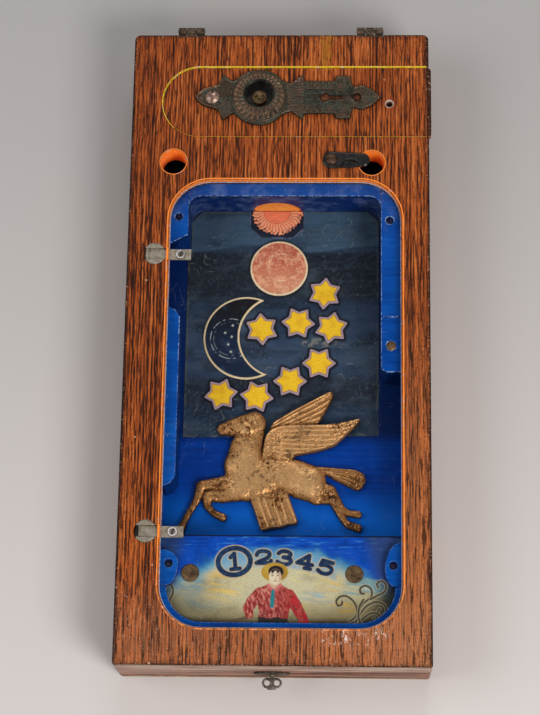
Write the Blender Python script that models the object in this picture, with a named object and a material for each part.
"""Table-top coin drop game: a shallow oak case lying on its back, with a hinged glazed lid.

Frame: +X to the right, +Y from the latch end to the hinge end, +Z out of the front face.
The origin is the centre of the back face.  All sizes are in metres.
"""

import math

import bpy

# ---------------------------------------------------------------- case and lid
WIDTH = 0.260
LENGTH = 0.560
DEPTH = 0.064
LID_THICK = 0.024
BACK_THICK = 0.006
RAIL_THICK = 0.012
FIELD_THICK = 0.005
FIELD_TOP = 0.017
CLEAT_WIDE = 0.080
CASE_CORNER_LATCH = 0.003
CASE_CORNER_HINGE = 0.005
LID_CORNER_TOP = 0.005
LID_CORNER_BOTTOM = 0.003
EDGE_ROUND = 0.0008
GAP = 0.0003            # between two fixed pieces that touch
SWING = 0.0006          # between a moving piece and the edge that it passes

# ---------------------------------------------------------------- window in the lid
WINDOW_LEFT = 0.0353    # oak left between the window and each outside edge
WINDOW_RIGHT = 0.0240
WINDOW_BOTTOM = 0.0313
WINDOW_TOP = 0.1378
WINDOW_CORNER = 0.036
WINDOW_BACK_BEVEL = 0.0019   # lets the lid swing up past the top wall of the well
PANE_THICK = 0.0033
PANE_DROP = 0.0045

# ---------------------------------------------------------------- coin slide and door plate
SLIDE_FROM_TOP = 0.06425     # middle of the channel, below the hinge end
SLIDE_WIDTH = 0.0661
SLIDE_FLOOR_DEPTH = 0.0105
SLIDE_LEFT = 0.0266          # oak left between the channel's round end and the left edge
SLIDE_DROP = 0.0012
SLIDE_OVERHANG = 0.002
SLIDE_FIT = 0.0006
SLIDE_STROKE = 0.060
TONGUE = 0.003
TONGUE_THICK = 0.0032
POCKET_X = -0.0189
POCKET_FROM_TOP = 0.0565
POCKET_R = 0.0117
STUD_R = 0.0065
STUD_HIGH = 0.0035
PLATE_THICK = 0.0025
PLATE_FROM_TOP = 0.061
ROSETTE_R = 0.026
ROSETTE_THICK = 0.0038
PLATE_SCREW_X = -0.060
PIN_HOLE_X = 0.0955
PIN_HOLE_FROM_TOP = 0.066
PIN_HOLE_R = 0.0033

# ---------------------------------------------------------------- coins and their gate
COIN_HOLE_R = 0.01125        # passes a coin 21.2 mm across
COIN_LEFT = 0.0376           # hole centre, in from the left edge
COIN_LEFT_FROM_TOP = 0.121
COIN_RIGHT = 0.0499          # hole centre, in from the right edge
COIN_RIGHT_FROM_TOP = 0.122
LEVER_X = 0.0452
LEVER_FROM_TOP = 0.120
LEVER_REACH = 0.0332
LEVER_ROOT_R = 0.0077
LEVER_TIP_R = 0.0060
LEVER_THICK = 0.0032

# ---------------------------------------------------------------- playfield
WALL_THICK = 0.0112          # top wall of the well
WELL_CLEAR = 0.0006          # well blocks to the window's edge
RAIL_RIGHT_FROM_TOP = 0.2597 # joint between the right rail and the block below it
BLOCK_RIGHT_LONG = 0.049
BLOCK_RIGHT_CHAMFER = 0.005
BLOCK_SCREW_DOWN = 0.0255
BLOCK_LEFT_LOW = 0.151       # left block's ends, from the latch end and from the hinge end
BLOCK_LEFT_FROM_TOP = 0.251
TACK_LEFT_IN = 0.0254        # tack centres, in from the window's edges
TACK_RIGHT_IN = 0.0396
TACK_HIGH = 0.0788           # tack centres, up from the latch end
TACK_R = 0.0074
SHEET_THICK = 0.0004
ART_THICK = 0.0012
INNER_FILLET = 0.0100
MOUTH_X = -0.0029
MOUTH_R = 0.0213
SUN_R = 0.0235
DISC_R = 0.0253
STAR_TIP = 0.0148
STAR_VALLEY = 0.62
RELIEF_THICK = 0.0055
LABEL_TOP = 0.050
LABEL_HIGH = 0.111           # label board's upper edge, up from the latch end
LABEL_BOARD_THICK = 0.006
LEG_WIDE = 0.012
RAIL_BOTTOM_WIDE = 0.0054

# ---------------------------------------------------------------- hinges and lock
LID_AXIS_PAST_END = 0.0045
LID_AXIS_BELOW_FACE = 0.003
HINGE_LEFT = 0.050           # hinge middle, in from the left edge
HINGE_RIGHT = 0.0515
HINGE_WIDE = 0.023
KNUCKLE_R = 0.0034
LEAF_THICK = 0.0014
PIN_R = 0.0014
PIN_CLEAR = 0.0002
CUP_R = 0.0095
CUP_IN = 0.0236              # cup centre, in from the left edge
CUP_UPPER_FROM_TOP = 0.206
CUP_LOWER_FROM_BOTTOM = 0.111
CUP_DEEP = 0.008
STRAP_WIDE = 0.0094
STRAP_THICK = 0.0016
STRAP_REACH = 0.0376         # from the hinge axis to the strap's free end
LOCK_X = -0.001
LOCK_DOWN = 0.0085           # lock's centre, below the lid's underside
SPINDLE_R = 0.0036
CAM_REACH = 0.008
CAM_HALF = 0.003

# ---------------------------------------------------------------- levels and edges that follow
SEAM = DEPTH - LID_THICK
LEFT, RIGHT = -WIDTH / 2, WIDTH / 2
BOTTOM, TOP = -LENGTH / 2, LENGTH / 2
PANE_TOP = DEPTH - PANE_DROP
PANE_BACK = PANE_TOP - PANE_THICK
WELL_TOP = PANE_BACK - GAP - 0.0002
FIELD_BASE = FIELD_TOP + GAP
ART_BASE = FIELD_BASE + SHEET_THICK + GAP
WIN_X0, WIN_X1 = LEFT + WINDOW_LEFT, RIGHT - WINDOW_RIGHT
WIN_Y0, WIN_Y1 = BOTTOM + WINDOW_BOTTOM, TOP - WINDOW_TOP
WELL_X0, WELL_X1 = WIN_X0 + WELL_CLEAR, WIN_X1 - WELL_CLEAR
WELL_Y0, WELL_Y1 = WIN_Y0 + WELL_CLEAR, WIN_Y1 - WELL_CLEAR
WELL_CORNER = WINDOW_CORNER - WELL_CLEAR
WALL_FRONT = WELL_Y1 - WALL_THICK
CHANNEL_FLOOR = DEPTH - SLIDE_FLOOR_DEPTH
SLIDE_FACE = DEPTH - SLIDE_DROP
SLIDE_BACK = CHANNEL_FLOOR + GAP
SLIDE_Y = TOP - SLIDE_FROM_TOP
POCKET_Y = TOP - POCKET_FROM_TOP
PLATE_Y = TOP - PLATE_FROM_TOP
PLATE_BACK = SLIDE_FACE + GAP
PLATE_TOP = PLATE_BACK + PLATE_THICK
LID_AXIS = (0.0, TOP + LID_AXIS_PAST_END, DEPTH - LID_AXIS_BELOW_FACE)
CUP_X = LEFT + CUP_IN
STRAP_AXIS = (CUP_X - 0.0062, 0.0, DEPTH - 0.0021)
STRAP_BACK = PANE_TOP + GAP
LEVER_PIVOT = (LEVER_X, TOP - LEVER_FROM_TOP, DEPTH)
LOCK_Z = SEAM - LOCK_DOWN
KEY_AXIS = (LOCK_X, BOTTOM, LOCK_Z)
RIGHT_BAND = 0.0171          # width of the blue band down the right of the well
LEFT_BAND = 0.0104
LEFT_CHUNK = 0.0154
CHUNK_FROM_TOP = 0.1935
SHEET_IN = 0.0130            # sheet's left edge, in from the well's left side
SHEET_LOW = 0.203


# ---------------------------------------------------------------- making and joining solids
def clear_scene():
    for item in list(bpy.data.objects):
        bpy.data.objects.remove(item, do_unlink=True)


def finish(name, colour, roughness, metallic=0.0, alpha=1.0):
    """A Principled material with one colour."""
    made = bpy.data.materials.new(name)
    made.use_nodes = True
    shader = made.node_tree.nodes["Principled BSDF"]
    shader.inputs["Base Color"].default_value = (*colour, 1.0)
    shader.inputs["Roughness"].default_value = roughness
    shader.inputs["Metallic"].default_value = metallic
    shader.inputs["Alpha"].default_value = alpha
    return made


def joint_frame(name, place, parent=None):
    """An empty on a joint's axis, which the pieces that move about it hang from."""
    frame = bpy.data.objects.new(name, None)
    bpy.context.scene.collection.objects.link(frame)
    frame.location = place
    if parent is not None:
        frame.parent = parent
        frame.location = [a - b for a, b in zip(place, parent["place"])]
    frame["place"] = list(place)
    return frame


def add_object(name, mesh, material, body, smooth=False):
    """Link a mesh whose points are in the case's frame, hung from its body's empty."""
    item = bpy.data.objects.new(name, mesh)
    bpy.context.scene.collection.objects.link(item)
    if material is not None:
        mesh.materials.append(material)
    if body is not None:
        item.parent = body
        item.location = [-value for value in body["place"]]
    if smooth:
        mesh.shade_smooth()
        mesh.set_sharp_from_angle(angle=math.radians(35))
    return item


def loft(name, rings, material=None, body=None, smooth=False):
    """A closed solid through rings of points, each counter-clockwise seen from the last one."""
    count = len(rings[0])
    points = [point for ring in rings for point in ring]
    faces = [list(reversed(range(count)))]
    for level in range(len(rings) - 1):
        low, high = level * count, (level + 1) * count
        for index in range(count):
            after = (index + 1) % count
            faces.append([low + index, low + after, high + after, high + index])
    faces.append(list(range((len(rings) - 1) * count, len(rings) * count)))
    mesh = bpy.data.meshes.new(name)
    mesh.from_pydata(points, [], faces)
    mesh.validate()
    return add_object(name, mesh, material, body, smooth)


def prism(name, outline, low, high, material=None, body=None, smooth=False):
    """An outline in X and Y carried straight up from low to high."""
    rings = [[(x, y, z) for x, y in outline] for z in (low, high)]
    return loft(name, rings, material, body, smooth)


def box(name, low, high, material=None, body=None):
    outline = [(low[0], low[1]), (high[0], low[1]), (high[0], high[1]), (low[0], high[1])]
    return prism(name, outline, low[2], high[2], material, body)


def rod(name, start, along, length, radii, material=None, body=None, sides=20):
    """A round bar from start along X, Y or Z.  radii is one radius, or (distance, radius) steps."""
    steps = [(0.0, radii), (length, radii)] if isinstance(radii, float) else radii
    turn = {"X": (1, 2, 0), "Y": (2, 0, 1), "Z": (0, 1, 2)}[along]
    rings = []
    for distance, radius in steps:
        ring = []
        for index in range(sides):
            angle = 2 * math.pi * (index + 0.5) / sides
            point = [0.0, 0.0, 0.0]
            point[turn[0]] = start[turn[0]] + radius * math.cos(angle)
            point[turn[1]] = start[turn[1]] + radius * math.sin(angle)
            point[turn[2]] = start[turn[2]] + distance
            ring.append(tuple(point))
        rings.append(ring)
    return loft(name, rings, material, body, smooth=True)


def combine(target, other, operation):
    """Cut another solid out of the target, or join it on, with an exact Boolean."""
    other.hide_render = True
    other.display_type = "WIRE"
    step = target.modifiers.new(other.name, "BOOLEAN")
    step.operation = operation
    step.solver = "EXACT"
    step.object = other


def cut(target, *cutters):
    for cutter in cutters:
        combine(target, cutter, "DIFFERENCE")


def weld(target, *others):
    for other in others:
        combine(target, other, "UNION")


# ---------------------------------------------------------------- outlines
def arc(centre, radius, start, end, steps):
    """Points on a circle from one angle to another, in degrees, both ends included."""
    angles = [math.radians(start + (end - start) * k / steps) for k in range(steps + 1)]
    return [(centre[0] + radius * math.cos(a), centre[1] + radius * math.sin(a)) for a in angles]


def circle(centre, radius, sides=32):
    return arc(centre, radius, 0.0, 360.0 * (sides - 1) / sides, sides - 1)


def rounded(x0, y0, x1, y1, bottom, top, steps=4):
    """A rectangle with one radius on its two lower corners and one on its two upper corners."""
    return (
        arc((x1 - top, y1 - top), top, 0, 90, steps)
        + arc((x0 + top, y1 - top), top, 90, 180, steps)
        + arc((x0 + bottom, y0 + bottom), bottom, 180, 270, steps)
        + arc((x1 - bottom, y0 + bottom), bottom, 270, 360, steps)
    )


def ngon_star(centre, tip, valley, first, points=6):
    """A star outline: tips and valleys in turn, the first tip at an angle in degrees."""
    corners = []
    for index in range(2 * points):
        radius = tip if index % 2 == 0 else valley * tip
        angle = math.radians(first + 180.0 * index / points)
        corners.append((centre[0] + radius * math.cos(angle), centre[1] + radius * math.sin(angle)))
    return corners


def crescent(outer, outer_r, inner, inner_r, steps=18):
    """What is left of one circle after another is taken from its right-hand side."""
    dx, dy = inner[0] - outer[0], inner[1] - outer[1]
    apart = math.hypot(dx, dy)
    heading = math.degrees(math.atan2(dy, dx))
    along = (apart ** 2 + outer_r ** 2 - inner_r ** 2) / (2 * apart)
    wide = math.degrees(math.acos(along / outer_r))
    narrow = math.degrees(math.acos((apart - along) / inner_r))
    back = arc(outer, outer_r, heading + wide, heading + 360 - wide, steps)
    hollow = arc(inner, inner_r, heading + 180 + narrow, heading + 180 - narrow, steps)
    return back + hollow[1:-1]


def bulge(wall, side, low, middle, high, proud, tail, steps=6):
    """A lens against a wall: a quarter ellipse up to the wall, and one down to a narrow tail."""
    quarter = [k * math.pi / 2 / steps for k in range(steps + 1)]
    upper = [(wall + side * proud * math.cos(a), middle + (high - middle) * math.sin(a))
             for a in quarter]
    lower = [(wall + side * (tail + (proud - tail) * math.cos(a)), middle - (middle - low) * math.sin(a))
             for a in reversed(quarter[1:])]
    points = [(wall, low)] + lower + upper
    return points if side > 0 else list(reversed(points))


# ---------------------------------------------------------------- materials
def make_finishes():
    return {
        "oak": finish("oak", (0.36, 0.13, 0.045), 0.42),
        "oak_dark": finish("oak_dark", (0.23, 0.08, 0.03), 0.5),
        "deal": finish("deal", (0.45, 0.28, 0.14), 0.6),
        "blue_paint": finish("blue_paint", (0.005, 0.05, 0.30), 0.35),
        "navy_paint": finish("navy_paint", (0.008, 0.018, 0.09), 0.4),
        "sky_paper": finish("sky_paper", (0.02, 0.03, 0.05), 0.5),
        "orange_card": finish("orange_card", (0.95, 0.20, 0.04), 0.5),
        "star_card": finish("star_card", (0.75, 0.42, 0.03), 0.5),
        "moon_card": finish("moon_card", (0.02, 0.03, 0.06), 0.5),
        "copper_card": finish("copper_card", (0.62, 0.24, 0.13), 0.45),
        "relief_bronze": finish("relief_bronze", (0.40, 0.19, 0.07), 0.38, 0.9),
        "plate_bronze": finish("plate_bronze", (0.10, 0.09, 0.065), 0.45, 0.85),
        "nickel": finish("nickel", (0.34, 0.29, 0.24), 0.35, 0.9),
        "steel": finish("steel", (0.20, 0.19, 0.18), 0.4, 0.9),
        "brass": finish("brass", (0.30, 0.19, 0.07), 0.4, 0.9),
        "black_iron": finish("black_iron", (0.018, 0.018, 0.018), 0.3, 0.3),
        "glass": finish("glass", (0.9, 0.95, 0.97), 0.03, 0.0, 0.2),
        "label_paper": finish("label_paper", (0.55, 0.50, 0.33), 0.55),
    }


# ---------------------------------------------------------------- the fixed case
def build_case(look, base):
    prism("back_board",
          rounded(LEFT, BOTTOM, RIGHT, TOP, CASE_CORNER_LATCH, CASE_CORNER_HINGE),
          0.0, BACK_THICK, look["deal"], base)
    rail_low, rail_high = BACK_THICK + GAP, SEAM - GAP
    inner_y = LENGTH / 2 - RAIL_THICK - GAP
    box("side_rail_left", (LEFT, -inner_y, rail_low), (LEFT + RAIL_THICK, inner_y, rail_high),
        look["oak"], base)
    box("side_rail_right", (RIGHT - RAIL_THICK, -inner_y, rail_low), (RIGHT, inner_y, rail_high),
        look["oak"], base)
    corner = CASE_CORNER_LATCH
    near = (arc((LEFT + corner, BOTTOM + corner), corner, 180, 270, 5)
            + arc((RIGHT - corner, BOTTOM + corner), corner, 270, 360, 5)
            + [(RIGHT, BOTTOM + RAIL_THICK), (LEFT, BOTTOM + RAIL_THICK)])
    corner = CASE_CORNER_HINGE
    far = (arc((RIGHT - corner, TOP - corner), corner, 0, 90, 4)
           + arc((LEFT + corner, TOP - corner), corner, 90, 180, 4)
           + [(LEFT, TOP - RAIL_THICK), (RIGHT, TOP - RAIL_THICK)])
    end_rail_latch = prism("end_rail_latch", near, rail_low, rail_high, look["oak"], base)
    prism("end_rail_hinge", far, rail_low, rail_high, look["oak"], base)
    cut(end_rail_latch, rod("lock_bore", (LOCK_X, BOTTOM - 0.01, LOCK_Z), "Y",
                            RAIL_THICK + 0.02, SPINDLE_R + GAP))
    inner_x = WIDTH / 2 - RAIL_THICK - GAP
    box("field_board", (-inner_x, -inner_y, FIELD_TOP - FIELD_THICK), (inner_x, inner_y, FIELD_TOP),
        look["navy_paint"], base)
    box("field_cleat", (-CLEAT_WIDE / 2, -inner_y + 0.01, rail_low),
        (CLEAT_WIDE / 2, inner_y - 0.01, FIELD_TOP - FIELD_THICK - GAP), look["deal"], base)


# ---------------------------------------------------------------- blue blocks around the playfield
def corner_cut(x, side):
    """Angle, in degrees, where the well's upper corner arc passes over x."""
    centre = WELL_X0 + WELL_CORNER if side < 0 else WELL_X1 - WELL_CORNER
    return math.degrees(math.acos((x - centre) / WELL_CORNER))


def build_well(look, base):
    blue = look["blue_paint"]
    arc_y = WELL_Y1 - WELL_CORNER
    left_centre = (WELL_X0 + WELL_CORNER, arc_y)
    right_centre = (WELL_X1 - WELL_CORNER, arc_y)
    split_left = WELL_X0 + LEFT_CHUNK
    split_right = WELL_X1 - RIGHT_BAND

    cap = (arc(right_centre, WELL_CORNER, corner_cut(split_right - GAP, 1), 90, 4)
           + arc(left_centre, WELL_CORNER, 90, corner_cut(split_left + GAP, -1), 4)
           + arc((split_left + GAP + INNER_FILLET, WALL_FRONT - INNER_FILLET), INNER_FILLET,
                 180, 90, 5)
           + arc((split_right - GAP - INNER_FILLET, WALL_FRONT - INNER_FILLET), INNER_FILLET,
                 90, 0, 5))
    wall = prism("well_wall_top", cap, FIELD_BASE, WELL_TOP, blue, base)
    cut(wall, rod("mouth_arch", (MOUTH_X, WALL_FRONT - 0.01, FIELD_TOP), "Y",
                  WALL_THICK + 0.02, MOUTH_R, sides=40))

    chunk_low = TOP - CHUNK_FROM_TOP
    prism("block_top_left",
          [(WELL_X0, chunk_low), (split_left, chunk_low + 0.008)]
          + arc(left_centre, WELL_CORNER, corner_cut(split_left, -1), 180, 5),
          FIELD_BASE, WELL_TOP, blue, base)
    rail_low = TOP - RAIL_RIGHT_FROM_TOP
    prism("rail_right",
          [(split_right, rail_low), (WELL_X1, rail_low)]
          + arc(right_centre, WELL_CORNER, 0, corner_cut(split_right, 1), 6),
          FIELD_BASE, WELL_TOP, blue, base)

    block_high = rail_low - GAP
    block_low = block_high - BLOCK_RIGHT_LONG
    block = prism("block_right",
                  [(split_right, block_low + 0.003), (split_right + BLOCK_RIGHT_CHAMFER, block_low),
                   (WELL_X1, block_low), (WELL_X1, block_high), (split_right, block_high)],
                  FIELD_BASE, WELL_TOP, blue, base)
    screw_place = ((split_right + WELL_X1) / 2, block_high - BLOCK_SCREW_DOWN)
    seat = WELL_TOP - 0.0013
    cut(block, rod("brass_screw_hole", (*screw_place, WELL_TOP - 0.012), "Z", 0.02, 0.0020),
        rod("brass_screw_seat", (*screw_place, seat), "Z", 0.01, 0.0043))
    rod("block_brass_screw", (*screw_place, WELL_TOP - 0.0115), "Z", 0.0,
        [(0.0, 0.0016), (0.0102 + GAP, 0.0016), (0.0102 + GAP, 0.0040), (0.0112, 0.0040),
         (0.0116, 0.0032)], look["brass"], base)

    left_low, left_high = BOTTOM + BLOCK_LEFT_LOW, TOP - BLOCK_LEFT_FROM_TOP
    inner = WELL_X0 + LEFT_BAND
    prism("block_left",
          [(WELL_X0, left_low), (inner - 0.004, left_low + 0.003), (inner, left_low + 0.009),
           (inner, left_high - 0.009), (inner - 0.004, left_high - 0.003), (WELL_X0, left_high)],
          FIELD_BASE, WELL_TOP, blue, base)

    screw_spots = [(WELL_X0 + 0.0071, TOP - 0.169, "block_top_left"),
                   (WELL_X1 - 0.0096, TOP - 0.172, "rail_right")]
    screw_spots += build_label(look, base)
    for x, y, host in screw_spots:
        cut(bpy.data.objects[host], rod(f"counterbore_{host}", (x, y, WELL_TOP - 0.003), "Z",
                                        0.01, 0.0035, sides=16))


def build_label(look, base):
    """The printed board across the latch end on its two legs, with its short blocks and tacks."""
    blue = look["blue_paint"]
    low_centres = ((WELL_X0 + WELL_CORNER, WELL_Y0 + WELL_CORNER),
                   (WELL_X1 - WELL_CORNER, WELL_Y0 + WELL_CORNER))
    inside = WELL_CORNER - RAIL_BOTTOM_WIDE
    prism("rail_bottom",
          arc(low_centres[0], WELL_CORNER, 180, 270, 7) + arc(low_centres[1], WELL_CORNER, 270, 360, 7)
          + arc(low_centres[1], inside, 360, 270, 7) + arc(low_centres[0], inside, 270, 180, 7),
          FIELD_BASE, WELL_TOP, blue, base)
    step = low_centres[0][1] + GAP
    outline = (arc(low_centres[0], inside - GAP, 180, 270, 7)
               + arc(low_centres[1], inside - GAP, 270, 360, 7)
               + [(WELL_X1 - RAIL_BOTTOM_WIDE - GAP, step), (WELL_X1, step),
                  (WELL_X1, BOTTOM + LABEL_HIGH), (WELL_X0, BOTTOM + LABEL_HIGH), (WELL_X0, step),
                  (WELL_X0 + RAIL_BOTTOM_WIDE + GAP, step)])
    card_low = LABEL_TOP - SHEET_THICK
    board_low = card_low - GAP - LABEL_BOARD_THICK
    board = prism("label_board", outline, board_low, card_low - GAP, look["deal"], base)
    prism("label_card", outline, card_low, LABEL_TOP, look["label_paper"], base)
    for side, x0, x1 in (("left", WELL_X0, WELL_X0 + LEG_WIDE), ("right", WELL_X1 - LEG_WIDE, WELL_X1)):
        weld(board, box(f"label_leg_{side}", (x0, low_centres[0][1] + 0.001, FIELD_BASE),
                        (x1, BOTTOM + LABEL_HIGH - 0.004, board_low + 0.001)))

    short_low = LABEL_TOP + GAP
    left = bulge(WELL_X0, 1, step, BOTTOM + 0.086, BOTTOM + 0.098, 0.0150, RAIL_BOTTOM_WIDE)
    right = bulge(WELL_X1, -1, step, BOTTOM + 0.082, BOTTOM + 0.105, 0.0140, RAIL_BOTTOM_WIDE)
    prism("block_bottom_left", left, short_low, WELL_TOP, blue, base)
    prism("block_bottom_right", right, short_low, WELL_TOP, blue, base)
    for side, x in (("left", WIN_X0 + TACK_LEFT_IN), ("right", WIN_X1 - TACK_RIGHT_IN)):
        rod(f"label_tack_{side}", (x, BOTTOM + TACK_HIGH, short_low), "Z", 0.0,
            [(0.0, TACK_R), (0.0006, TACK_R), (0.0011, TACK_R - 0.0012)], look["brass"], base, sides=24)
    return [(WELL_X0 + 0.0070, BOTTOM + 0.0860, "block_bottom_left"),
            (WELL_X1 - 0.0070, BOTTOM + 0.0854, "block_bottom_right")]


# ---------------------------------------------------------------- cut-out pieces on the playfield
STARS = (   # centre x, centre below the hinge end, angle of the first tip
    (-0.0151, 0.2595, 95), (0.0168, 0.2536, 116), (0.0457, 0.2580, 78), (0.0396, 0.2266, 85),
    (0.0351, 0.2902, 0), (0.0103, 0.3065, 0), (-0.0493, 0.3187, 10), (-0.0183, 0.3205, -7),
)

HORSE_PLACE = (-0.0016, -0.0004)

HORSE = (   # outline of the relief, before it is set in its place: x, and up from the latch end
    (-0.0512, 0.2120), (-0.0492, 0.2055), (-0.0345, 0.2045), (-0.0340, 0.2015),
    (-0.0415, 0.1880), (-0.0440, 0.1760), (-0.0455, 0.1635), (-0.0620, 0.1640),
    (-0.0665, 0.1590), (-0.0670, 0.1520), (-0.0765, 0.1340), (-0.0805, 0.1215),
    (-0.0750, 0.1205), (-0.0700, 0.1330), (-0.0605, 0.1510), (-0.0560, 0.1400),
    (-0.0470, 0.1310), (-0.0400, 0.1310), (-0.0400, 0.1340), (-0.0480, 0.1370),
    (-0.0530, 0.1480), (-0.0500, 0.1495), (-0.0350, 0.1460), (-0.0240, 0.1460),
    (-0.0120, 0.1175), (0.0195, 0.1255), (0.0105, 0.1530), (0.0155, 0.1545),
    (0.0300, 0.1450), (0.0480, 0.1440), (0.0550, 0.1330), (0.0640, 0.1250),
    (0.0745, 0.1240), (0.0735, 0.1275), (0.0660, 0.1300), (0.0640, 0.1330),
    (0.0735, 0.1345), (0.0735, 0.1375), (0.0600, 0.1390), (0.0515, 0.1520),
    (0.0510, 0.1580), (0.0410, 0.1560), (0.0385, 0.1690), (0.0520, 0.1655),
    (0.0640, 0.1560), (0.0740, 0.1570), (0.0790, 0.1640), (0.0770, 0.1730),
    (0.0700, 0.1755), (0.0480, 0.1755), (0.0270, 0.1815), (0.0140, 0.1825),
    (0.0150, 0.1870), (0.0410, 0.1900), (0.0580, 0.2030), (0.0730, 0.2190),
    (0.0360, 0.2160), (0.0420, 0.2250), (0.0480, 0.2440), (0.0440, 0.2450),
    (0.0180, 0.2300), (-0.0080, 0.2180), (-0.0140, 0.2245), (-0.0260, 0.2240),
    (-0.0350, 0.2200),
)


def build_art(look, base):
    chunk_edge = WELL_X0 + LEFT_CHUNK + GAP
    sheet_left, sheet_right = WELL_X0 + SHEET_IN, WELL_X1 - RIGHT_BAND - 0.0015
    sheet_top = WALL_FRONT - GAP
    step = TOP - CHUNK_FROM_TOP - GAP
    sheet = [(sheet_left, BOTTOM + SHEET_LOW), (sheet_right, BOTTOM + SHEET_LOW),
             (sheet_right, sheet_top - INNER_FILLET), (sheet_right - INNER_FILLET, sheet_top),
             (chunk_edge + INNER_FILLET, sheet_top), (chunk_edge, sheet_top - INNER_FILLET),
             (chunk_edge, step), (sheet_left, step)]
    prism("sky_sheet", sheet, FIELD_BASE, FIELD_BASE + SHEET_THICK, look["sky_paper"], base)
    high = ART_BASE + ART_THICK
    rays = [(MOUTH_X + SUN_R * (1.0 if k % 2 == 0 else 0.9) * math.cos(math.pi * k / 22),
             WALL_FRONT - GAP - SUN_R * (1.0 if k % 2 == 0 else 0.9) * math.sin(math.pi * k / 22))
            for k in range(23)]
    prism("sun_plate", list(reversed(rays)), ART_BASE, high, look["orange_card"], base)
    prism("disc_plate", circle((-0.0006, TOP - 0.2035), DISC_R, 40), ART_BASE, high,
          look["copper_card"], base)
    prism("moon_plate", crescent((-0.0282, TOP - 0.2677), 0.0373, (0.0020, TOP - 0.2664), 0.0366),
          ART_BASE, high, look["moon_card"], base)
    for number, (x, below, first) in enumerate(STARS, 1):
        prism(f"star_{number}", ngon_star((x, TOP - below), STAR_TIP, STAR_VALLEY, first),
              ART_BASE, high, look["star_card"], base)
    relief_base = high + GAP
    outline = [(HORSE_PLACE[0] + x, BOTTOM + HORSE_PLACE[1] + y) for x, y in HORSE]
    prism("winged_horse", outline, relief_base, relief_base + RELIEF_THICK,
          look["relief_bronze"], base)


# ---------------------------------------------------------------- coin guides behind the lid
def build_guides(look, base):
    """Two ramps that lead a coin from either hole to the arch, falling towards the middle."""
    inner_x = WIDTH / 2 - RAIL_THICK - GAP
    level = WELL_Y1 + 0.0006
    sides = (
        ("chute_guide_left", -1, LEFT + COIN_LEFT, TOP - COIN_LEFT_FROM_TOP),
        ("chute_guide_right", 1, RIGHT - COIN_RIGHT, TOP - COIN_RIGHT_FROM_TOP),
    )
    for name, side, hole_x, hole_y in sides:
        inner = MOUTH_X + side * (MOUTH_R + 0.001)
        start = level + 0.0011
        under_hole = hole_y - COIN_HOLE_R - GAP
        slope = (under_hole - start) / abs(hole_x - inner)
        outer = side * inner_x
        outer_y = start + slope * abs(outer - inner)
        outline = [(inner, level), (outer, level), (outer, outer_y), (inner, start)]
        if side < 0:
            outline.reverse()
        prism(name, outline, FIELD_BASE, SEAM - GAP - 0.0005, look["navy_paint"], base)


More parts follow.
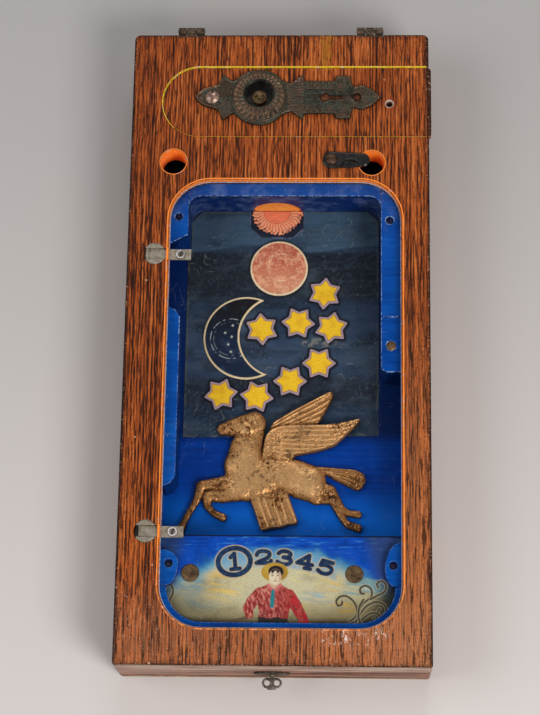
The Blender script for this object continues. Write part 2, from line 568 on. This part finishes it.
# ---------------------------------------------------------------- lid
def build_lid(look, lid, base):
    oak = look["oak"]
    rings = []
    for z, inset in ((SEAM, 0.0), (DEPTH - EDGE_ROUND, 0.0), (DEPTH, EDGE_ROUND)):
        outline = rounded(LEFT + inset, BOTTOM + inset, RIGHT - inset, TOP - inset,
                          LID_CORNER_BOTTOM, LID_CORNER_TOP)
        rings.append([(x, y, z) for x, y in outline])
    board = loft("lid_board", rings, oak, lid)

    openings = []
    for z, extra in ((SEAM - 0.001, WINDOW_BACK_BEVEL), (PANE_BACK, 0.0), (DEPTH + 0.001, 0.0)):
        outline = rounded(WIN_X0, WIN_Y0, WIN_X1, WIN_Y1, WINDOW_CORNER, WINDOW_CORNER, 8)
        openings.append([(x, y + (extra if y > 0 else 0.0), z) for x, y in outline])
    half = SLIDE_WIDTH / 2
    round_x = LEFT + SLIDE_LEFT + half
    past = RIGHT + 0.01
    channel = (arc((round_x, SLIDE_Y), half, 90, 270, 16)
               + [(past, SLIDE_Y - half), (past, SLIDE_Y + half)])
    tongue = half + TONGUE + SLIDE_FIT
    slot_top = CHANNEL_FLOOR + GAP + TONGUE_THICK + SLIDE_FIT
    cutters = [
        loft("window_opening", openings),
        prism("slide_channel", channel, CHANNEL_FLOOR, DEPTH + 0.001),
        box("tongue_slot", (round_x, SLIDE_Y - tongue, CHANNEL_FLOOR - 0.0001),
            (past + 0.001, SLIDE_Y + tongue, slot_top)),
        rod("coin_hole_left_cut", (LEFT + COIN_LEFT, TOP - COIN_LEFT_FROM_TOP, SEAM - 0.01), "Z",
            LID_THICK + 0.02, COIN_HOLE_R, sides=32),
        rod("coin_hole_right_cut", (RIGHT - COIN_RIGHT, TOP - COIN_RIGHT_FROM_TOP, SEAM - 0.01),
            "Z", LID_THICK + 0.02, COIN_HOLE_R, sides=32),
        rod("drop_hole", (POCKET_X + SLIDE_STROKE, POCKET_Y, SEAM - 0.01), "Z",
            0.01 + CHANNEL_FLOOR - SEAM + 0.001, POCKET_R + 0.0005, sides=32),
        rod("lever_screw_hole", (LEVER_X, LEVER_PIVOT[1], DEPTH - 0.012), "Z", 0.02, 0.0019),
        rod("stud_hole", (POCKET_X, POCKET_Y, CHANNEL_FLOOR - 0.008), "Z", 0.009, 0.0023),
    ]
    for name, y in cup_rows():
        cutters.append(rod(f"{name}_pocket", (CUP_X, y, DEPTH - CUP_DEEP - GAP), "Z",
                           CUP_DEEP + 0.01, CUP_R + GAP, sides=32))
        cutters.append(box(f"{name}_notch",
                           (CUP_X, y - STRAP_WIDE / 2 - SWING, STRAP_BACK - SWING),
                           (WIN_X0 + 0.002, y + STRAP_WIDE / 2 + SWING, DEPTH + 0.001)))
    cut(board, *cutters)

    rod("slide_stud", (POCKET_X, POCKET_Y, CHANNEL_FLOOR - 0.0075), "Z", 0.0,
        [(0.0, 0.002), (0.0075 + GAP, 0.002), (0.0075 + GAP, STUD_R),
         (0.0075 + STUD_HIGH - 0.0008, STUD_R), (0.0075 + STUD_HIGH, STUD_R - 0.0012)],
        look["brass"], lid, sides=24)
    screw_low = DEPTH - 0.0115
    head = 0.0115 + 2 * GAP + LEVER_THICK
    rod("lever_screw", (LEVER_X, LEVER_PIVOT[1], screw_low), "Z", 0.0,
        [(0.0, 0.0016), (head, 0.0016), (head, 0.0048), (head + 0.0008, 0.0046),
         (head + 0.0017, 0.003), (head + 0.002, 0.001)], look["brass"], lid, sides=20)
    build_strike(look, lid)
    build_top_hinges(look, lid, base, board)
    for name, y in cup_rows():
        cup = rod(name, (CUP_X, y, DEPTH - CUP_DEEP), "Z", CUP_DEEP, CUP_R,
                  look["nickel"], lid, sides=32)
        cut(cup, box(f"{name}_slot",
                     (CUP_X - 0.02, y - STRAP_WIDE / 2 - GAP, STRAP_BACK - SWING),
                     (CUP_X + 0.02, y + STRAP_WIDE / 2 + GAP, DEPTH + 0.001)))


def cup_rows():
    """Name and place along the lid of each pocket that a window strap turns in."""
    return (("window_cup_upper", TOP - CUP_UPPER_FROM_TOP),
            ("window_cup_lower", BOTTOM + CUP_LOWER_FROM_BOTTOM))


def build_strike(look, lid):
    """A hook under the lid that the lock's cam turns under."""
    near = BOTTOM + RAIL_THICK + 0.0015
    far = near + 0.0065
    leg = LOCK_X + CAM_REACH + 0.0016
    lip_top = LOCK_Z - CAM_HALF - 0.0009
    hook = [(leg - 0.005, lip_top - 0.0025), (leg + 0.0022, lip_top - 0.0025),
            (leg + 0.0022, SEAM - GAP - 0.0018), (leg + 0.014, SEAM - GAP - 0.0018),
            (leg + 0.014, SEAM - GAP), (leg, SEAM - GAP), (leg, lip_top), (leg - 0.005, lip_top)]
    rings = [[(x, y, z) for x, z in hook] for y in (far, near)]
    loft("strike_hook", rings, look["steel"], lid)


def build_top_hinges(look, lid, base, board):
    """Two butt hinges across the hinge end: one leaf on the case's rail, one let into the lid."""
    face = TOP + GAP
    axis_y, axis_z = LID_AXIS[1], LID_AXIS[2]
    third = HINGE_WIDE / 3
    for side, middle in (("left", LEFT + HINGE_LEFT), ("right", RIGHT - HINGE_RIGHT)):
        start, end = middle - HINGE_WIDE / 2, middle + HINGE_WIDE / 2
        fixed = box(f"hinge_leaf_case_{side}", (start, face, BACK_THICK + 0.008),
                    (end, face + LEAF_THICK, axis_z), look["steel"], base)
        notch = box(f"leaf_notch_{side}", (middle - third / 2 - SWING, face - 0.001, axis_z - 0.0055),
                    (middle + third / 2 + SWING, face + 0.01, axis_z + 0.01))
        cut(fixed, notch)
        for piece, x0 in (("a", start), ("b", end - third + SWING)):
            weld(fixed, rod(f"knuckle_{side}_{piece}", (x0, axis_y, axis_z), "X", third - SWING,
                            KNUCKLE_R))
        cut(fixed, rod(f"bore_case_{side}", (start - 0.01, axis_y, axis_z), "X",
                       HINGE_WIDE + 0.02, PIN_R + PIN_CLEAR))
        rod(f"hinge_pin_{side}", (start - 0.0004, axis_y, axis_z), "X", HINGE_WIDE + 0.0008, PIN_R,
            look["steel"], base)

        leaf_back = TOP - GAP - LEAF_THICK
        leaf_low, leaf_high = SEAM + 0.003, DEPTH - 0.0014
        leaf = box(f"hinge_leaf_lid_{side}", (start, leaf_back, leaf_low),
                   (end, TOP - GAP, leaf_high), look["steel"], lid)
        weld(leaf, box(f"web_{side}", (middle - third / 2, leaf_back + 0.0004, leaf_high - 0.003),
                       (middle + third / 2, axis_y, leaf_high - 0.0002)),
             rod(f"knuckle_{side}_c", (middle - third / 2, axis_y, axis_z), "X", third, KNUCKLE_R))
        cut(leaf, rod(f"bore_lid_{side}", (start - 0.01, axis_y, axis_z), "X",
                      HINGE_WIDE + 0.02, PIN_R + PIN_CLEAR))
        cut(board, box(f"leaf_recess_{side}", (start - GAP, leaf_back - GAP, leaf_low - GAP),
                       (end + GAP, TOP + 0.01, DEPTH + 0.001)))


# ---------------------------------------------------------------- window
def build_window(look, window):
    edge = SWING
    outline = rounded(WIN_X0 + edge, WIN_Y0 + edge, WIN_X1 - edge, WIN_Y1 - edge,
                      WINDOW_CORNER - edge, WINDOW_CORNER - edge, 8)
    pane = prism("window_pane", outline, PANE_BACK, PANE_TOP, look["glass"], window)
    for name, y in cup_rows():
        strap_name = name.replace("cup", "strap")
        axis_x, axis_z = STRAP_AXIS[0], STRAP_AXIS[2]
        strap_end = axis_x + STRAP_REACH
        strap = box(strap_name, (axis_x - 0.0008, y - STRAP_WIDE / 2, STRAP_BACK),
                    (strap_end, y + STRAP_WIDE / 2, STRAP_BACK + STRAP_THICK),
                    look["nickel"], window)
        weld(strap, rod(f"{strap_name}_eye", (axis_x, y - STRAP_WIDE / 2, axis_z), "Y",
                        STRAP_WIDE, 0.0016, sides=16))
        hole = (strap_end - 0.009, y)
        cut(strap, rod(f"{strap_name}_hole", (*hole, STRAP_BACK - 0.01), "Z", 0.02, 0.0018, sides=16))
        cut(pane, rod(f"{strap_name}_pane_hole", (*hole, PANE_BACK - 0.01), "Z", 0.02, 0.0018, sides=16))
        top = STRAP_BACK + STRAP_THICK + GAP
        head = top - PANE_BACK
        rod(name.replace("window_cup", "strap_screw"), (*hole, PANE_BACK), "Z", 0.0,
            [(0.0, 0.0015), (head, 0.0015), (head, 0.0040), (head + 0.0007, 0.0038),
             (head + 0.0012, 0.0024)], look["nickel"], window, sides=20)


# ---------------------------------------------------------------- coin slide
def plate_outline():
    """Half of the door plate's edge from its left tip to its right tip, mirrored about its axis."""
    half = [(-0.0750, 0.0), (-0.0725, 0.0040), (-0.0670, 0.0082), (-0.0590, 0.0104),
            (-0.0545, 0.0120), (-0.0505, 0.0215), (-0.0450, 0.0170), (-0.0420, 0.0150)]
    sweep = arc((POCKET_X, 0.0), ROSETTE_R, 140, 38, 10)
    tail = [(0.0090, 0.0130), (0.0190, 0.0205), (0.0215, 0.0153), (0.0475, 0.0153),
            (0.0490, 0.0200), (0.0610, 0.0200), (0.0635, 0.0095), (0.0715, 0.0115),
            (0.0800, 0.0075), (0.0880, 0.0)]
    upper = half + sweep + tail
    lower = [(x, -y) for x, y in reversed(upper[1:-1])]
    return [(x, PLATE_Y + y) for x, y in reversed(upper + lower)]


def build_slide(look, slide):
    half = SLIDE_WIDTH / 2 - SLIDE_FIT
    round_x = LEFT + SLIDE_LEFT + SLIDE_WIDTH / 2
    end = RIGHT + SLIDE_OVERHANG
    body = (arc((round_x, SLIDE_Y), half, 90, 270, 16)
            + arc((end - 0.003, SLIDE_Y - half + 0.003), 0.003, 270, 360, 3)
            + arc((end - 0.003, SLIDE_Y + half - 0.003), 0.003, 0, 90, 3))
    board = prism("coin_slide", body, SLIDE_BACK, SLIDE_FACE, look["oak"], slide)
    tongue = half + TONGUE
    weld(board, box("slide_tongues", (round_x + SLIDE_FIT, SLIDE_Y - tongue, SLIDE_BACK),
                    (end - 0.004, SLIDE_Y + tongue, SLIDE_BACK + TONGUE_THICK)))
    groove_r = STUD_R + 0.0005
    groove_x = POCKET_X - SLIDE_STROKE - 0.0002
    groove = (arc((groove_x, POCKET_Y), groove_r, 90, 270, 8)
              + [(POCKET_X, POCKET_Y - groove_r), (POCKET_X, POCKET_Y + groove_r)])
    pocket_y = POCKET_Y
    cut(board,
        rod("coin_pocket", (POCKET_X, pocket_y, SLIDE_BACK - 0.01), "Z", 0.03, POCKET_R, sides=32),
        prism("stud_groove", groove, SLIDE_BACK - 0.001, CHANNEL_FLOOR + STUD_HIGH + 0.0005),
        rod("pin_hole", (PIN_HOLE_X, TOP - PIN_HOLE_FROM_TOP, SLIDE_BACK - 0.01), "Z", 0.03,
            PIN_HOLE_R, sides=24),
        rod("plate_screw_hole", (PLATE_SCREW_X, PLATE_Y, SLIDE_FACE - 0.0045), "Z", 0.01, 0.0017,
            sides=16))

    plate = prism("door_plate", plate_outline(), PLATE_BACK, PLATE_TOP, look["plate_bronze"], slide)
    weld(plate, rod("rosette", (POCKET_X, pocket_y, PLATE_BACK + 0.0004), "Z", 0.0,
                    [(0.0, 0.0225), (ROSETTE_THICK - 0.0012, 0.0225), (ROSETTE_THICK, 0.020)],
                    sides=32))
    key_slot = (arc((0.0389, PLATE_Y), 0.0037, 30, 330, 10)
                + [(0.0538, PLATE_Y - 0.0016), (0.0538, PLATE_Y + 0.0016)])
    cut(plate,
        rod("plate_pocket", (POCKET_X, pocket_y, PLATE_BACK - 0.01), "Z", 0.03, POCKET_R + 0.0002,
            sides=32),
        prism("keyhole", key_slot, PLATE_BACK - 0.001, PLATE_TOP + 0.001),
        rod("empty_screw_hole", (0.0669, PLATE_Y, PLATE_BACK - 0.001), "Z", 0.01, 0.0032, sides=20),
        rod("plate_hole", (PLATE_SCREW_X, PLATE_Y, PLATE_BACK - 0.001), "Z", 0.01, 0.0017, sides=16))
    screw_low = SLIDE_FACE - 0.0042
    head = PLATE_TOP + GAP - screw_low
    rod("plate_screw", (PLATE_SCREW_X, PLATE_Y, screw_low), "Z", 0.0,
        [(0.0, 0.0014), (head, 0.0014), (head, 0.0062), (head + 0.0011, 0.0054),
         (head + 0.002, 0.0036), (head + 0.0024, 0.0014)], look["plate_bronze"], slide, sides=20)


# ---------------------------------------------------------------- gate lever
def build_lever(look, lever):
    x, y = LEVER_PIVOT[0], LEVER_PIVOT[1]
    tip = x + LEVER_REACH - LEVER_TIP_R
    outline = (arc((x, y), LEVER_ROOT_R, 85, 275, 10)
               + arc((tip, y), LEVER_TIP_R, -88, 88, 8))
    low = DEPTH + GAP
    arm = prism("gate_lever", outline, low, low + LEVER_THICK, look["black_iron"], lever)
    cut(arm, rod("lever_hole", (x, y, low - 0.01), "Z", 0.02, 0.0019))


# ---------------------------------------------------------------- lock
def build_lock(look, base, key):
    plate_half_wide, plate_half_high, plate_thick = 0.015, 0.0078, 0.0012
    face = BOTTOM - GAP
    ellipse = [(LOCK_X + plate_half_wide * math.cos(a), LOCK_Z + plate_half_high * math.sin(a))
               for a in (2 * math.pi * k / 28 for k in range(28))]
    plate = loft("lock_plate", [[(x, y, z) for x, z in ellipse] for y in (face, face - plate_thick)],
                 look["steel"], base)
    cut(plate, rod("plate_bore", (LOCK_X, face - 0.01, LOCK_Z), "Y", 0.02, SPINDLE_R + GAP))

    outside = face - plate_thick - 0.0004
    inside = BOTTOM + RAIL_THICK + 0.0042
    spindle = rod("lock_spindle", (LOCK_X, outside, LOCK_Z), "Y", inside - outside, SPINDLE_R,
                  look["steel"], key)
    weld(spindle, box("cam", (LOCK_X - CAM_HALF, inside - 0.0032, LOCK_Z - CAM_HALF),
                      (LOCK_X + CAM_HALF, inside - 0.0002, LOCK_Z + CAM_REACH)))
    cut(spindle, rod("key_bore", (LOCK_X, outside - 0.001, LOCK_Z), "Y", 0.009, 0.0017, sides=16))

    bow_half, bow_low, bow_high = 0.0010, outside - 0.0125, outside - 0.0006
    wings = []
    for k in range(24):
        angle = 2 * math.pi * k / 24
        lobe = 0.0042 + 0.0044 * abs(math.cos(angle)) ** 0.8
        wings.append((LOCK_X + lobe * math.cos(angle),
                      (bow_low + bow_high) / 2 + 0.0059 * math.sin(angle)))
    bow = prism("key", wings, LOCK_Z - bow_half, LOCK_Z + bow_half, look["nickel"], key)
    weld(bow, rod("key_shank", (LOCK_X, bow_high - 0.002, LOCK_Z), "Y", 0.0095, 0.0014, sides=16))
    for side in (-1, 1):
        cut(bow, rod(f"bow_hole_{side}", (LOCK_X + side * 0.0042, (bow_low + bow_high) / 2,
                                          LOCK_Z - 0.01), "Z", 0.02, 0.0018, sides=16))


def main():
    clear_scene()
    look = make_finishes()
    base = joint_frame("case_frame", (0.0, 0.0, 0.0))
    lid = joint_frame("lid_axis", LID_AXIS, base)
    window = joint_frame("window_axis", STRAP_AXIS, lid)
    slide = joint_frame("slide_frame", (POCKET_X, POCKET_Y, SLIDE_BACK), lid)
    lever = joint_frame("lever_axis", LEVER_PIVOT, lid)
    key = joint_frame("key_axis", KEY_AXIS, base)
    build_case(look, base)
    build_well(look, base)
    build_art(look, base)
    build_guides(look, base)
    build_lid(look, lid, base)
    build_window(look, window)
    build_slide(look, slide)
    build_lever(look, lever)
    build_lock(look, base, key)


main()
